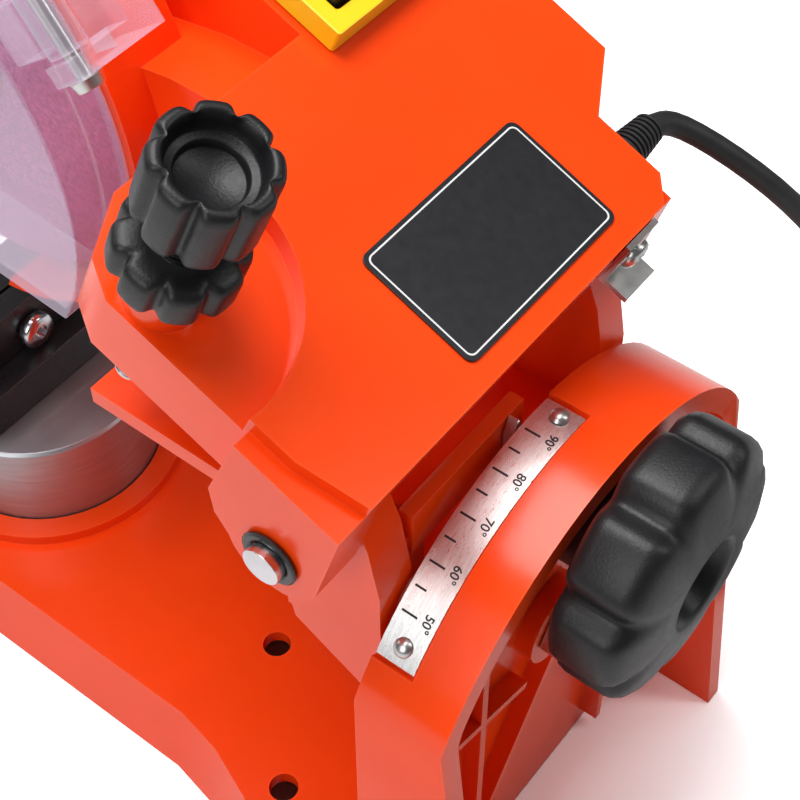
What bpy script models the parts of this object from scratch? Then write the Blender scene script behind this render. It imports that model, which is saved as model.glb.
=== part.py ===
"""Bench sharpener for saw chain: base with a rear arch, tilting bracket, pivoting head and chain vise.

Metres, +Z up, floor at z = 0.  +X is the operator's right, -Y the operator's side.
The tilt axis runs along Y through (0, 0, AXIS_Z).  Sizes below are in millimetres.
"""
import math

import bmesh
import bpy
from mathutils import Matrix, Vector

MM = 0.001
GAP = 0.3            # clearance between pieces that touch
FIT = 0.25           # radial clearance of a shaft in its hole

# base and arch
AXIS_Z = 105.0       # height of the tilt axis
BASE_TOP = 25.0
BASE_HALF = 54.0     # half width of the slab at its top
BASE_DRAFT = 6.0     # how far the foot of the slab stands out
BASE_WALL = 5.0
ARCH_R = 75.0
ARCH_LIP = 1.2       # how far the arch stands proud of the scale's recess
ARCH_WALL = 6.0
ARCH_TURN = 62.0     # degrees from the top where the arc turns into the flank
ARCH_FRONT = -1.5
ARCH_REAR = 24.0
LEG_FLARE = 15.0     # how far the legs run back at the floor
WEB_FRONT = 4.0      # the wall inside the arch
WEB_REAR = 8.5
RIB_REAR = 14.0
TABLE_Y = -194.0     # centre of the vise turntable
RING_R = 46.0
BOLT_R = 4.5
BOLTS = ((17.0, -77.0), (54.0, -43.0))

# scale
SCALE_START = -6.5   # degrees from the top, toward +X
SCALE_END = 51.5
SCALE_FRONT = -1.2
SCALE_REAR = 9.8
SCALE_T = 0.8
RIVET_ANGLES = (-3.8, 48.0)
RIVET_Y = 4.6
RIVET_R = 1.3
RIVET_HEAD = 2.6

# tilting bracket
STUD_R = 5.0
STUD_Z = 53.0        # radius of the clamp stud about the tilt axis
TILT_MAX = 40.0
PIN_Y = -19.8
PIN_Z = 83.7
PIN_R = 5.0
SPRING_X = 16.0      # where the return spring starts
CHEEK_IN = 43.0
CHEEK_OUT = 55.0
CHEEK_MINUS_IN = 37.0
CHEEK_MINUS_OUT = 47.3
PAD_Z = 81.5
PAD_X = 59.5
PAD_Y = -86.0
PAD_T = 5.0
CLAMP_R = 60.0       # the clamp face runs inside the arch
TAB_Y = -5.0         # face of the tab ahead of the scale
POINTER_X = 2.7

# lock knob
KNOB_R = 35.5
KNOB_LOBES = 8
KNOB_BACK = 28.5
KNOB_FRONT = 51.5
HUB_R = 13.0

# head, in its own frame: leaned back by HEAD_LEAN about X through the tilt axis
HEAD_LEAN = 23.48
TOP = 100.0
SKIN = 5.0
DECK = 10.5          # thickness of the top, so that the well for the stop keeps a floor
HEAD_REAR = -42.0
HEAD_PLUS = 66.0
HEAD_MINUS = -56.4
BODY_MINUS = -74.0
BODY_REAR = -79.0
ARM_STEP = -14.0     # the arm is shorter on the +X side of here
ARM_FRONT = -129.0
EAR_IN = 57.0
EAR_OUT = 71.0
EAR_MINUS_IN = 48.8
EAR_MINUS_OUT = 56.4
EAR_R = 13.0
EAR_FRONT = 20.0     # how far the ear on the +X side reaches ahead of the pin
STOP_X = 56.0
STOP_Y = -105.5
STOP_R = 4.0
STOP_TIP = 56.0
STOP_TOP = 149.0
SCREW_TOP = 134.0
STOP_BOSS = 106.7     # top of the boss that the jam knob sits on
JAM_R = 14.5
JAM_LOW = 107.0
JAM_TOP = 119.0
GRIP_R = 13.5
GRIP_LOW = 125.0
SMALL_LOBES = 8
WELL_R = 36.0
GLAND_OUT = 20.0     # how far the gland stands out
GLAND_Y = -58.5
GLAND_Z = 87.0

# wheel group
WHEEL_Y = -212.0
WHEEL_Z = 21.3
WHEEL_R = 72.5
WHEEL_T = 3.2
WHEEL_BORE = 11.1
WHEEL_X = 6.0
SHAFT_R = 6.0
BEARING_R = 11.0
BEARING_T = 8.0
ROTOR_R = 22.5
FLANGE_R = 22.0
MOTOR_R = 40.0
MOTOR_X0 = -96.0
MOTOR_X1 = -14.0
HOOD_R = 79.0
HOOD_X0 = -8.0
HOOD_X1 = 17.0
GUARD_X1 = 38.0
GUARD_R = 77.5
GUARD_T = 2.0
GUARD_BAND = 8.0     # width of the thicker band along the guard's open edge
KNUCKLE_R = HOOD_R + 14.0
HINGE_X = 30.0
HINGE_AT = 60.0      # degrees from the arm's side toward the top, seen along the spindle

# vise
TABLE_R = 38.0
TABLE_TOP = 63.0
VISE_TOP = 97.0
JAW_GAP = 1.4
JAW_Y = TABLE_Y - 6  # middle of the gap between the jaws
JAW_HALF = 46.0
CLAMP_Z = TABLE_TOP + GAP + 22
GUIDE_X = 30.0

# cord
CORD_R = 3.2
COIL_AT = (-142.0, 88.5)
COIL_R = 36.0        # middle of the turns
COIL_WIDE = 13.0     # half width and half height of the bundle of turns
COIL_HIGH = 6.1
FACE_GAP = 0.4       # between the cord's own solids
PLUG_R = 18.0
PLUG_LONG = 56.0     # without its pins


# where a flat (a, b) at a distance t along each axis lies in space
PLACES = {
    "x": lambda a, b, t: (t, a, b),
    "y": lambda a, b, t: (a, t, b),
    "z": lambda a, b, t: (a, b, t),
}


def link(name, bm, color, metal=0.0, rough=0.4, origin=(0, 0, 0), smooth=35.0):
    """A named object from a bmesh in millimetres, with its origin where asked and its own material."""
    bmesh.ops.remove_doubles(bm, verts=bm.verts, dist=0.001)
    bmesh.ops.recalc_face_normals(bm, faces=bm.faces)
    mesh = bpy.data.meshes.new(name)
    bmesh.ops.transform(bm, matrix=Matrix.Translation(-Vector(origin)), verts=bm.verts)
    bmesh.ops.scale(bm, vec=(MM, MM, MM), verts=bm.verts)
    bm.to_mesh(mesh)
    bm.free()
    obj = bpy.data.objects.new(name, mesh)
    obj.location = Vector(origin) * MM
    bpy.context.collection.objects.link(obj)
    mesh.polygons.foreach_set("use_smooth", [True] * len(mesh.polygons))
    mesh.set_sharp_from_angle(angle=math.radians(smooth))
    mat = bpy.data.materials.new(name + "_material")
    mat.use_nodes = True
    shader = mat.node_tree.nodes["Principled BSDF"]
    shader.inputs["Base Color"].default_value = (*color, 1)
    shader.inputs["Metallic"].default_value = metal
    shader.inputs["Roughness"].default_value = rough
    mesh.materials.append(mat)
    return obj


def loft(rings, closed=False):
    """A closed body through equal rings of points, with flat caps unless it closes on itself."""
    bm = bmesh.new()
    rows = [[bm.verts.new(p) for p in ring] for ring in rings]
    count = len(rows[0])
    pairs = list(zip(rows, rows[1:]))
    if closed:
        pairs.append((rows[-1], rows[0]))
    for low, high in pairs:
        for i in range(count):
            j = (i + 1) % count
            bm.faces.new((low[i], low[j], high[j], high[i]))
    if not closed:
        bm.faces.new(rows[0][::-1])
        bm.faces.new(rows[-1])
    return bm


def box(x0, x1, y0, y1, z0, z1):
    low = [(x0, y0, z0), (x1, y0, z0), (x1, y1, z0), (x0, y1, z0)]
    return loft([low, [(x, y, z1) for x, y, _ in low]])


def prism(points, axis, start, end):
    """A flat outline pushed along an axis: outlines are (y, z), (x, z) or (x, y)."""
    place = PLACES[axis]
    return loft([[place(a, b, t) for a, b in points] for t in (start, end)])


def round_points(a, b, radius, count, start=0.0, sweep=360.0):
    """Points round a circle; a full circle leaves out the repeated last point."""
    steps = count if sweep == 360.0 else count - 1
    angles = [math.radians(start + sweep * i / steps) for i in range(count)]
    return [(a + radius * math.cos(t), b + radius * math.sin(t)) for t in angles]


def rod(axis, a, b, radius, start, end, count=24):
    return prism(round_points(a, b, radius, count), axis, start, end)


def turned(axis, a, b, profile, count=32):
    """A body turned about a line along an axis, from (radius, distance) pairs that close the outline."""
    place = PLACES[axis]
    rings = []
    for i in range(count):
        c, s = math.cos(2 * math.pi * i / count), math.sin(2 * math.pi * i / count)
        rings.append([place(a + r * c, b + r * s, t) for r, t in profile])
    bm = loft(rings, closed=True)
    bmesh.ops.remove_doubles(bm, verts=bm.verts, dist=0.0005)
    bmesh.ops.dissolve_degenerate(bm, dist=0.0005, edges=bm.edges)
    return bm


def lobed(axis, a, b, rings, lobes, depth, count=64):
    """A grip with lobes round it, from (radius, distance) rings."""
    place = PLACES[axis]
    made = []
    for radius, at, share in rings:
        ring = []
        for i in range(count):
            t = 2 * math.pi * i / count
            r = radius - depth * share * (0.5 - 0.5 * math.cos(lobes * t)) ** 2
            ring.append(place(a + r * math.cos(t), b + r * math.sin(t), at))
        made.append(ring)
    return loft(made)


def tube(axis, a, b, inner, outer, start, end, count=24):
    """A plain ring or sleeve."""
    return turned(axis, a, b, [(inner, start), (outer, start), (outer, end), (inner, end)], count)


def hex_nut(axis, a, b, radius, start, end, bore):
    return cut(rod(axis, a, b, radius, start, end, 6), rod(axis, a, b, bore, start - 5, end + 5, 24))


def as_object(bm):
    mesh = bpy.data.meshes.new("scratch")
    bmesh.ops.recalc_face_normals(bm, faces=bm.faces)
    bm.to_mesh(mesh)
    bm.free()
    obj = bpy.data.objects.new("scratch", mesh)
    bpy.context.collection.objects.link(obj)
    return obj


def combine(first, others, how):
    """Union or difference of bmeshes with the exact solver; the scratch objects are removed."""
    target = as_object(first)
    for bm in others:
        tool = as_object(bm)
        mod = target.modifiers.new("cut", "BOOLEAN")
        mod.solver = "EXACT"
        mod.operation = how
        mod.object = tool
        graph = bpy.context.evaluated_depsgraph_get()
        done = bpy.data.meshes.new_from_object(target.evaluated_get(graph))
        target.modifiers.clear()
        target.data = done
        bpy.data.objects.remove(tool)
    result = bmesh.new()
    result.from_mesh(target.data)
    bpy.data.objects.remove(target)
    return result


def joined(first, *others):
    return combine(first, others, "UNION")


def cut(first, *others):
    return combine(first, others, "DIFFERENCE")


def lifted(bm):
    """From the tilt axis's frame to the floor's."""
    bmesh.ops.translate(bm, vec=(0, 0, AXIS_Z), verts=bm.verts)
    return bm


def leaned(bm):
    """From the head's own frame to the floor's."""
    turn = Matrix.Rotation(math.radians(-HEAD_LEAN), 4, "X")
    bmesh.ops.transform(bm, matrix=Matrix.Translation((0, 0, AXIS_Z)) @ turn, verts=bm.verts)
    return bm


def head_point(x, y, z):
    t = math.radians(HEAD_LEAN)
    return (x, y * math.cos(t) + z * math.sin(t), AXIS_Z - y * math.sin(t) + z * math.cos(t))


def pin_in_head():
    t = math.radians(HEAD_LEAN)
    return (PIN_Y * math.cos(t) - PIN_Z * math.sin(t), PIN_Y * math.sin(t) + PIN_Z * math.cos(t))


ORANGE = (0.80, 0.075, 0.012)
BLACK = (0.02, 0.02, 0.022)
STEEL = (0.55, 0.55, 0.57)
ZINC = (0.62, 0.62, 0.60)


def slab_outline(grow):
    """The base seen from above: round at the turntable, straight sides, wide lugs by the arch."""
    half = BASE_HALF + grow
    points = round_points(0, TABLE_Y, half, 19, 180, 180)
    rear = ARCH_R - 6 + grow * 0.3
    side = [(half, -120), (half, -84), (half + 3, -68), (half + 10, -50), (half + 20, -34),
            (half + 26, -18), (half + 26, -6), (rear, 2), (rear, WEB_REAR)]
    return points + side + [(-x, y) for x, y in reversed(side)]


def arch_outline(radius, side, foot):
    """The arch seen from behind: an arc on two straight flanks."""
    arc = round_points(0, 0, radius, 25, 90 + ARCH_TURN, -2 * ARCH_TURN)
    return [(-foot, side)] + arc + [(foot, side)]


def arch_body():
    half = ARCH_R * math.sin(math.radians(ARCH_TURN))
    outer = arch_outline(ARCH_R + ARCH_LIP, -AXIS_Z, half + 2.5)
    inner = arch_outline(ARCH_R - ARCH_WALL, -AXIS_Z - 1, half + 2.5 - ARCH_WALL)
    body = prism(outer, "y", ARCH_FRONT, ARCH_REAR)
    for v in body.verts:
        if v.co.y > 0 and v.co.z < 0:
            v.co.y += LEG_FLARE
    hollow = prism(inner, "y", WEB_REAR, ARCH_REAR + LEG_FLARE + 5)
    front = prism(arch_outline(ARCH_R - ARCH_WALL, -AXIS_Z + BASE_TOP, half + 2.5 - ARCH_WALL), "y",
                  ARCH_FRONT - 1, WEB_FRONT)
    return cut(body, hollow, front)


def web_ribs():
    """Stiffening ribs on the back of the wall inside the arch."""
    ribs = []
    for x0, z0, x1, z1 in ((-48, -96, 2, -12), (48, -96, -2, -12), (34, -100, 34, 24), (-34, -100, -34, 24),
                           (14, -14, 62, 2), (-14, -14, -62, 2)):
        dx, dz = x1 - x0, z1 - z0
        length = math.hypot(dx, dz)
        nx, nz = -dz / length * 1.2, dx / length * 1.2
        ribs.append(prism([(x0 - nx, z0 - nz), (x1 - nx, z1 - nz), (x1 + nx, z1 + nz), (x0 + nx, z0 + nz)],
                          "y", WEB_REAR - 1, RIB_REAR))
    ribs.append(rod("y", 0, 0, 13, WEB_REAR - 1, RIB_REAR, 32))
    return ribs


def stud_slot():
    """The arc slot that the clamp stud travels in."""
    inner, outer = STUD_Z - STUD_R - 0.8, STUD_Z + STUD_R + 0.8
    start, sweep = 90 + 7.0, -(TILT_MAX + 14.0)
    far = round_points(0, 0, outer, 13, start, sweep)
    near = round_points(0, 0, inner, 13, start, sweep)
    return prism(far + near[::-1], "y", -20, 40)


def build_base():
    slab = loft([[(x, y, 0) for x, y in slab_outline(BASE_DRAFT)],
                 [(x, y, BASE_TOP) for x, y in slab_outline(0)]])
    under = loft([[(x, min(y, -3), -1) for x, y in slab_outline(-BASE_WALL)],
                  [(x, min(y, -3), BASE_TOP - BASE_WALL) for x, y in slab_outline(-BASE_WALL)]])
    slab = cut(slab, under)
    arch = lifted(arch_body())
    body = joined(slab, arch, rod("z", 0, TABLE_Y, RING_R, BASE_TOP - 1, BASE_TOP + 4, 48),
                  *[lifted(r) for r in web_ribs()])
    cuts = [rod("z", 0, TABLE_Y, TABLE_R + 0.5, BASE_TOP, BASE_TOP + 20, 48),
            rod("z", 0, TABLE_Y, 8 + FIT, -5, BASE_TOP + 20, 24),
            lifted(stud_slot()), rod("y", 0, AXIS_Z, 6 + FIT, -20, 40, 24)]
    for x, y in BOLTS:
        for side in (1, -1):
            cuts.append(rod("z", side * x, y, BOLT_R, -5, BASE_TOP + 10, 20))
    recess = arc_strip(ARCH_R - SCALE_T, ARCH_R + 5, SCALE_START - 0.8, SCALE_END + 0.8, ARCH_FRONT - 1,
                       SCALE_REAR + 0.6)
    cuts.append(lifted(recess))
    for angle in RIVET_ANGLES:
        cuts.append(rivet_rod(angle, RIVET_R + 0.2, ARCH_R - 4.5, ARCH_R + 3))
    return link("base_casting", cut(body, *cuts), ORANGE, 0, 0.25)


def arc_strip(inner, outer, start, end, y0, y1, count=25):
    """A strip bent round the tilt axis; angles run from the top toward +X."""
    far = round_points(0, 0, outer, count, 90 - start, start - end)
    near = round_points(0, 0, inner, count, 90 - start, start - end)
    return prism(far + near[::-1], "y", y0, y1)


def rivet_rod(angle, radius, low, high):
    bm = rod("z", 0, RIVET_Y, radius, low, high, 16)
    turn = Matrix.Rotation(math.radians(angle), 4, "Y")
    bmesh.ops.transform(bm, matrix=Matrix.Translation((0, 0, AXIS_Z)) @ turn, verts=bm.verts)
    return bm


def build_scale():
    low = ARCH_R - SCALE_T + GAP
    strip = lifted(arc_strip(low, low + SCALE_T, SCALE_START, SCALE_END, SCALE_FRONT, SCALE_REAR))
    holes = [rivet_rod(a, RIVET_R + 0.2, ARCH_R - 6, ARCH_R + 6) for a in RIVET_ANGLES]
    link("scale_plate", cut(strip, *holes), (0.7, 0.7, 0.72), 1, 0.35)
    for name, angle in zip(("scale_rivet_top", "scale_rivet_low"), RIVET_ANGLES):
        base = low + SCALE_T + GAP
        profile = [(0, ARCH_R - 4), (RIVET_R, ARCH_R - 4), (RIVET_R, base), (RIVET_HEAD, base),
                   (RIVET_HEAD * 0.8, base + 0.9), (RIVET_HEAD * 0.45, base + 1.4), (0, base + 1.5)]
        bm = turned("z", 0, RIVET_Y, profile, 16)
        turn = Matrix.Rotation(math.radians(angle), 4, "Y")
        bmesh.ops.transform(bm, matrix=Matrix.Translation((0, 0, AXIS_Z)) @ turn, verts=bm.verts)
        link(name, bm, ZINC, 1, 0.3)


def build_bracket():
    """The casting that tilts: a clamp plate on the wall, two cheeks for the pin and a pad for the stop."""
    plate = [(-44, -18), (-20, -30), (20, -30), (44, -18), (CHEEK_OUT, 14), (CHEEK_OUT, 30), (40, 36),
             (18, 44), (13, 64), (-13, 64), (-18, 44), (-40, 36), (-CHEEK_MINUS_OUT, 30), (-CHEEK_MINUS_OUT, 14)]
    body = prism(plate, "y", -6, ARCH_FRONT - GAP)
    fan = round_points(0, 0, CLAMP_R, 9, 76, 28) + [(-14, 20), (14, 20)]
    body = joined(body, prism(round_points(0, 0, 36, 33), "y", -3, WEB_FRONT - GAP),
                  prism(fan, "y", -3.2, WEB_FRONT - GAP))
    cheek = [(-3, 14), (-3, 62), (-6, 78), (PIN_Y + 8, PIN_Z + 9), (PIN_Y, PIN_Z + 12),
             (PIN_Y - 9, PIN_Z + 8), (PIN_Y - 12, PIN_Z), (-36, 60), (-30, 30)]
    parts = [prism(cheek, "x", CHEEK_IN, CHEEK_OUT), prism(cheek, "x", -CHEEK_MINUS_OUT, -CHEEK_MINUS_IN)]
    parts.append(box(-CHEEK_MINUS_OUT + 2, CHEEK_OUT - 2, -34, -4, 30, 40))
    parts.append(prism([(16, PAD_Y), (PAD_X, PAD_Y), (PAD_X, PAD_Y + 46), (CHEEK_OUT, -30), (16, -30)], "z",
                       PAD_Z - PAD_T, PAD_Z))
    parts.append(prism([(-6, 34), (-33, 34), (-80, PAD_Z - 4), (-80, PAD_Z - 1), (-30, PAD_Z - 1), (-30, 60),
                        (-6, 60)], "x", 34, 41))
    parts.append(box(30, 54, -38, -29.5, 50, PAD_Z - 0.5))
    parts.append(box(-4, 40, TAB_Y - 4, TAB_Y, 62.2, 76))
    parts.append(box(34, 41, -16, TAB_Y - 1, 56, 68))
    body = joined(body, *parts)
    swing = rod("x", PIN_Y, PIN_Z, EAR_FRONT + 3, CHEEK_OUT, 90, 32)
    cuts = [rod("x", PIN_Y, PIN_Z, PIN_R + FIT, -90, 90, 24), rod("y", 0, STUD_Z, STUD_R + FIT, -20, 20, 24),
            rod("y", 0, 0, 6 + FIT, -20, 20, 24), swing]
    return link("tilt_bracket", lifted(cut(body, *cuts)), ORANGE, 0, 0.25, (0, 0, AXIS_Z))


def build_tilt_small():
    axis = (0, 0, AXIS_Z)
    tip = prism([(POINTER_X - 2.2, 66), (POINTER_X + 2.2, 66), (POINTER_X + 2.2, 72), (POINTER_X + 0.4, 76.5),
                 (POINTER_X - 0.4, 76.5), (POINTER_X - 2.2, 72)], "y", TAB_Y + GAP, ARCH_FRONT - GAP)
    link("scale_pointer", lifted(tip), ZINC, 1, 0.4, axis)
    stud = turned("y", 0, 0, [(0, -14), (8.5, -14), (8.5, -6.3), (STUD_R, -6.3), (STUD_R, 41), (0, 41)], 24)
    bmesh.ops.translate(stud, vec=(0, 0, AXIS_Z + STUD_Z), verts=stud.verts)
    link("clamp_stud", stud, STEEL, 1, 0.3, axis)
    bolt = turned("y", 0, 0, [(0, -13), (10, -13), (10, -6.3), (6, -6.3), (6, 24), (0, 24)], 24)
    link("tilt_pivot_bolt", lifted(bolt), STEEL, 1, 0.3, axis)
    nut = hex_nut("y", 0, 0, 10, RIB_REAR + GAP, RIB_REAR + 8, 6 + FIT)
    link("tilt_pivot_nut", lifted(nut), ZINC, 1, 0.35, axis)
    washer = tube("y", 0, STUD_Z, STUD_R + FIT, 12, WEB_REAR + GAP, WEB_REAR + 2.3, 32)
    link("clamp_washer", lifted(washer), ZINC, 1, 0.35, axis)
    pin = rod("x", PIN_Y, PIN_Z, PIN_R, -EAR_MINUS_OUT - 3.5, EAR_OUT + 4, 24)
    link("hinge_pin", lifted(pin), STEEL, 1, 0.2, axis)
    for name, x in (("pin_clip_plus", EAR_OUT + GAP), ("pin_clip_minus", -EAR_MINUS_OUT - GAP - 1.2)):
        ring = tube("x", PIN_Y, PIN_Z, PIN_R + FIT, PIN_R + 2.6, x, x + 1.2)
        link(name, lifted(ring), BLACK, 0.6, 0.5, axis)
    coil = tube("x", PIN_Y, PIN_Z, PIN_R + GAP, PIN_R + 2.6, SPRING_X, CHEEK_IN - 0.4)
    link("return_spring", lifted(coil), STEEL, 1, 0.35, axis)


def build_lock_knob():
    rings = [(HUB_R, WEB_REAR + 2.6, 0), (HUB_R, KNOB_BACK - 1, 0), (KNOB_R - 3, KNOB_BACK, 0.7),
             (KNOB_R, KNOB_BACK + 3, 1), (KNOB_R, KNOB_FRONT - 6, 1), (KNOB_R - 3.5, KNOB_FRONT - 2.2, 1),
             (KNOB_R - 10, KNOB_FRONT - 0.4, 0.4), (14, KNOB_FRONT, 0)]
    body = lobed("y", 0, STUD_Z, rings, KNOB_LOBES, 3.2)
    body = cut(body, rod("y", 0, STUD_Z, STUD_R + FIT, 0, 80, 24),
               rod("y", 0, STUD_Z, 8, KNOB_FRONT - 9, 80, 24))
    link("lock_knob", lifted(body), BLACK, 0, 0.5, (0, 0, AXIS_Z + STUD_Z))


def head_arm():
    """The arm: a shell open below, with the wider motor part ahead of it."""
    top = [(HEAD_PLUS, -60), (HEAD_PLUS - 4, HEAD_REAR), (-50, HEAD_REAR), (HEAD_MINUS, -48),
           (HEAD_MINUS, -68), (BODY_MINUS, BODY_REAR), (BODY_MINUS, -150), (ARM_STEP, -150), (ARM_STEP, ARM_FRONT),
           (46, ARM_FRONT), (61, -121), (HEAD_PLUS, -112)]
    body = prism(top, "z", 74, TOP)
    inside = [(HEAD_PLUS - SKIN, -60), (HEAD_PLUS - SKIN - 3, HEAD_REAR - SKIN), (-46, HEAD_REAR - SKIN),
              (HEAD_MINUS + SKIN, -54), (HEAD_MINUS + SKIN, -71), (BODY_MINUS + SKIN, BODY_REAR - SKIN),
              (BODY_MINUS + SKIN, -144), (ARM_STEP - SKIN, -144), (ARM_STEP - SKIN, ARM_FRONT + SKIN),
              (44, ARM_FRONT + SKIN), (57, -117), (HEAD_PLUS - SKIN, -109)]
    shell = cut(body, prism(inside, "z", 60, TOP - DECK))
    well = rod("z", STOP_X + 6, STOP_Y - 3, WELL_R, TOP - 6, TOP + 10, 48)
    shell = joined(shell, rod("z", STOP_X - 1, STOP_Y, 10, 78, TOP - 2, 24))
    return joined(cut(shell, well), rod("z", STOP_X, STOP_Y, 9, TOP - 8, STOP_BOSS, 24))


def head_ears():
    y, z = pin_in_head()
    below = round_points(y, z, EAR_R, 13, 180, 180)
    outline = [(y - EAR_R, z + 2)] + below + [(y + 9.5, 96), (y - EAR_R, 96)]
    foot = [(y - EAR_FRONT, 96), (y - EAR_FRONT, z + 3), (y - EAR_FRONT + 4, z - 4)]
    plus = prism(foot + round_points(y, z, EAR_R, 11, 215, 145) + [(y + 9.5, 96)], "x", EAR_IN, EAR_OUT)
    minus = prism(outline, "x", -EAR_MINUS_OUT, -EAR_MINUS_IN)
    shelf = box(50, EAR_OUT, y - EAR_R + 1, y + 8.5, 88, 94)
    return [plus, minus, shelf]


def motor_shell():
    outer = rod("x", WHEEL_Y, WHEEL_Z, MOTOR_R + 6, MOTOR_X0, HOOD_X0 + 1, 40)
    neck = prism([(-144, 76), (-144, TOP), (WHEEL_Y + 14, TOP - 34), (WHEEL_Y + 14, 30), (WHEEL_Y + 34, 24)],
                 "x", BODY_MINUS, ARM_STEP)
    low = prism([(-122, 76), (-122, 90), (-146, 80), (-178, 60), (-178, 24)], "x", ARM_STEP - 2, 6)
    hood = rod("x", WHEEL_Y, WHEEL_Z, HOOD_R, HOOD_X0, HOOD_X1, 56)
    return outer, neck, low, hood


def build_head():
    arm = head_arm()
    body = joined(arm, *motor_shell(), *head_ears())
    y, z = pin_in_head()
    cuts = [rod("x", WHEEL_Y, WHEEL_Z, MOTOR_R + GAP, MOTOR_X0 - 1, MOTOR_X1 + 1, 40),
            rod("x", WHEEL_Y, WHEEL_Z, HOOD_R - 3.5, HOOD_X0 + 4, HOOD_X1 + 1, 56),
            rod("x", WHEEL_Y, WHEEL_Z, BEARING_R + FIT, MOTOR_X1 - 1, HOOD_X0 + 6, 24),
            box(HOOD_X0 - 0.5, HOOD_X1 + 1, WHEEL_Y - 90, WHEEL_Y + 44, WHEEL_Z - 90, WHEEL_Z - 18),
            rod("x", y, z, EAR_R + 1.5, -EAR_MINUS_IN, EAR_IN, 40),
            rod("x", WHEEL_Y, WHEEL_Z, HOOD_R + 9, HOOD_X1 + 0.2, 95, 56),
            rod("x", y, z, PIN_R + FIT, -90, 90, 24), rod("z", STOP_X, STOP_Y, STOP_R + FIT, 60, 130, 24),
            rod("x", GLAND_Y, GLAND_Z, CORD_R + 3.2, HEAD_MINUS - 9, HEAD_MINUS + 9, 20)]
    link("head_casting", leaned(cut(body, *cuts)), ORANGE, 0, 0.25, (0, PIN_Y, PIN_Z + AXIS_Z))


def build_head_small():
    pivot = (0, PIN_Y, PIN_Z + AXIS_Z)
    plate = box(-37.5, 20, -81.7, -48, TOP + GAP, TOP + GAP + 0.5)
    link("rating_plate", leaned(plate), (0.03, 0.03, 0.035), 0, 0.5, pivot)
    frame = cut(box(-62, -16, -152, -121, TOP + GAP, TOP + 7), box(-57, -21, -147, -126, TOP - 5, TOP + 12))
    link("switch_frame", leaned(frame), (0.9, 0.6, 0.0), 0, 0.4, pivot)
    rocker = prism([(-145.7, TOP + 2.5), (-145.7, TOP + 9), (-136.5, TOP + 7), (-127.3, TOP + 9),
                    (-127.3, TOP + 2.5)], "x", -56.6, -21.4)
    link("switch_rocker", leaned(rocker), BLACK, 0, 0.4, head_point(-39, -136.5, TOP + 4))
    body = rod("x", WHEEL_Y, WHEEL_Z, MOTOR_R, MOTOR_X0 + 2, MOTOR_X1 - 2, 40)
    stator = cut(body, rod("x", WHEEL_Y, WHEEL_Z, 24, MOTOR_X0, MOTOR_X1, 32))
    link("motor_stator", leaned(stator), (0.25, 0.24, 0.24), 1, 0.5, pivot)
    seat = BEARING_R + FIT
    cap = turned("x", WHEEL_Y, WHEEL_Z,
                 [(0, MOTOR_X0 - 7), (MOTOR_R - 2, MOTOR_X0 - 7), (MOTOR_R + 5, MOTOR_X0 - 3),
                  (MOTOR_R + 5, MOTOR_X0 - GAP), (14.5, MOTOR_X0 - GAP), (14.5, MOTOR_X0 + 11.5),
                  (seat, MOTOR_X0 + 11.5), (seat, MOTOR_X0 + 2), (0, MOTOR_X0 + 2)], 40)
    link("motor_end_cover", leaned(cap), BLACK, 0, 0.5, pivot)
    strap = joined(box(-48.4, -36, HEAD_REAR + GAP, HEAD_REAR + 1.8, 80, 96),
                   box(-48.4, -36, HEAD_REAR + GAP, HEAD_REAR + 9, 80, 81.6))
    strap = cut(strap, rod("y", -42, 89, 2.3, HEAD_REAR - 5, HEAD_REAR + 9, 16))
    link("cord_bracket", leaned(strap), ZINC, 1, 0.35, pivot)
    screw = turned("y", -42, 89, [(0, HEAD_REAR + 0.2), (1.9, HEAD_REAR + 0.2), (1.9, HEAD_REAR + 2.1),
                                  (4.2, HEAD_REAR + 2.1), (3.6, HEAD_REAR + 4), (0, HEAD_REAR + 4.6)], 20)
    link("bracket_screw", leaned(screw), ZINC, 1, 0.3, pivot)
    tip = HEAD_MINUS - GLAND_OUT
    root = HEAD_MINUS + 8
    gland = turned("x", GLAND_Y, GLAND_Z,
                   [(CORD_R + FIT, tip), (CORD_R + 1.2, tip), (CORD_R + 3, HEAD_MINUS - GAP),
                    (CORD_R + 2.9, HEAD_MINUS - GAP), (CORD_R + 2.9, root), (CORD_R + FIT, root)], 24)
    link("cord_gland", leaned(gland), BLACK, 0, 0.6, pivot)


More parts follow.
